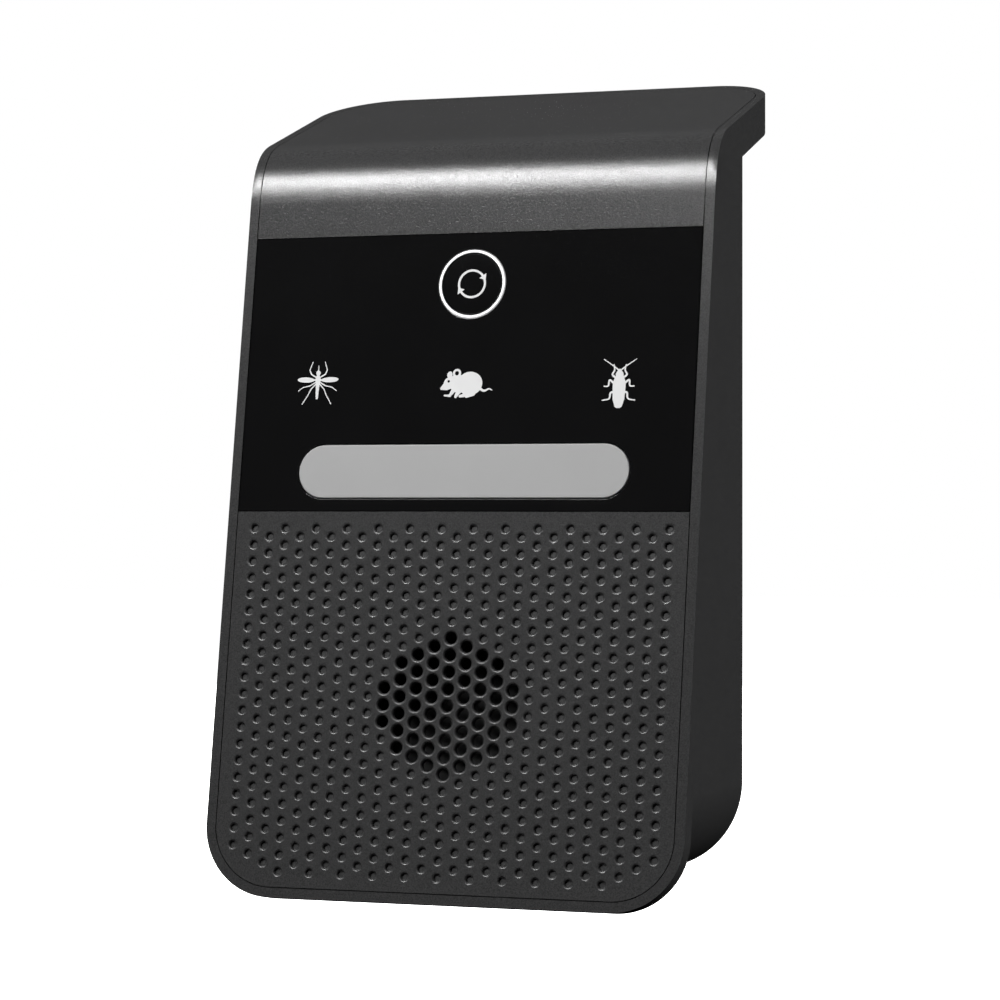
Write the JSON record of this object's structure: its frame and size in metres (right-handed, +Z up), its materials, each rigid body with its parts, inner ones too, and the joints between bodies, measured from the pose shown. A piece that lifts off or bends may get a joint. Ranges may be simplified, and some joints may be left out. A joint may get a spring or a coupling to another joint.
{
  "type": "ultrasonic pest repeller",
  "caption": "Plug-in ultrasonic pest repeller: leaning dark housing with a hood, gloss display panel with a push button and light bar, and a dimpled speaker grille.",
  "frame": {"origin": "centre of the plug boss's flat rear face, between the two blades", "axes": "+X right, +Y back towards the wall along the blades, +Z up"},
  "size_m": [0.0738, 0.0659, 0.1247],
  "materials": {
    "housing_plastic": "fine-textured dark grey moulding",
    "inlay_plastic": "fine-textured dark grey inlay",
    "panel_gloss": "polished black lens",
    "button_gloss": "polished black key",
    "diffuser_plastic": "pale grey translucent diffuser",
    "white_plastic": "white light ring",
    "guide_plastic": "clear light guide",
    "black_plastic": "black moulding",
    "board_green": "green solder mask on glass fibre",
    "led_resin": "cream LED resin",
    "foam": "open black foam",
    "cone_paper": "black pressed paper cone",
    "brass": "bare brass",
    "steel": "zinc plated",
    "capacitor_sleeve": "shrink sleeve",
    "film_resin": "epoxy dipped",
    "fuse_glass": "clear tube",
    "ribbon_plastic": "grey ribbon",
    "red_wire": "PVC sleeve",
    "black_wire": "PVC sleeve",
    "rear_plastic": "fine-textured dark grey cover",
    "blade_nickel": "nickel plated brass",
    "label": "blank foil label"
  },
  "bodies": {
    "root": {"housing": "housing_plastic", "face_plate": "inlay_plastic", "display_panel": "panel_gloss", "light_bar_diffuser": "diffuser_plastic", "rear_cover": "rear_plastic", "plug_blade_left": "blade_nickel", "plug_blade_right": "blade_nickel", "cover_screw_1": "steel", "cover_screw_2": "steel", "cover_screw_3": "steel", "cover_screw_4": "steel", "rating_plate": "label", "button_light_ring": "white_plastic", "left_icon_light_guide": "guide_plastic", "middle_icon_light_guide": "guide_plastic", "right_icon_light_guide": "guide_plastic", "light_shield": "black_plastic", "control_board": "board_green", "tact_switch": "black_plastic", "controller_chip": "black_plastic", "bar_led_1": "led_resin", "bar_led_2": "led_resin", "bar_led_3": "led_resin", "bar_led_4": "led_resin", "bar_led_5": "led_resin", "bar_led_6": "led_resin", "icon_led_1": "led_resin", "icon_led_2": "led_resin", "icon_led_3": "led_resin", "ring_led_1": "led_resin", "ring_led_2": "led_resin", "foam_gasket": "foam", "transducer_case": "black_plastic", "transducer_cone": "cone_paper", "piezo_disc": "brass", "terminal_left": "steel", "terminal_right": "steel", "transducer_clamp": "steel", "clamp_screw_1": "steel", "clamp_screw_2": "steel", "power_board": "board_green", "electrolytic_capacitor": "capacitor_sleeve", "film_capacitor": "film_resin", "bridge_rectifier": "black_plastic", "fuse": "fuse_glass", "inductor": "black_plastic", "drive_transistor": "black_plastic", "ribbon_cable": "ribbon_plastic", "transducer_lead_left": "red_wire", "transducer_lead_right": "black_wire", "blade_contact_left": "brass", "blade_contact_right": "brass"},
    "button": {"mode_button": "button_gloss", "switch_plunger": "black_plastic"}
  },
  "joints": [
    {"name": "mode_button_press", "type": "slide", "parent": "root", "child": "button", "axis": [0, 0.9852, -0.1716], "range_m": [0, 0.0004], "stiffness_N_per_m": 500}
  ]
}
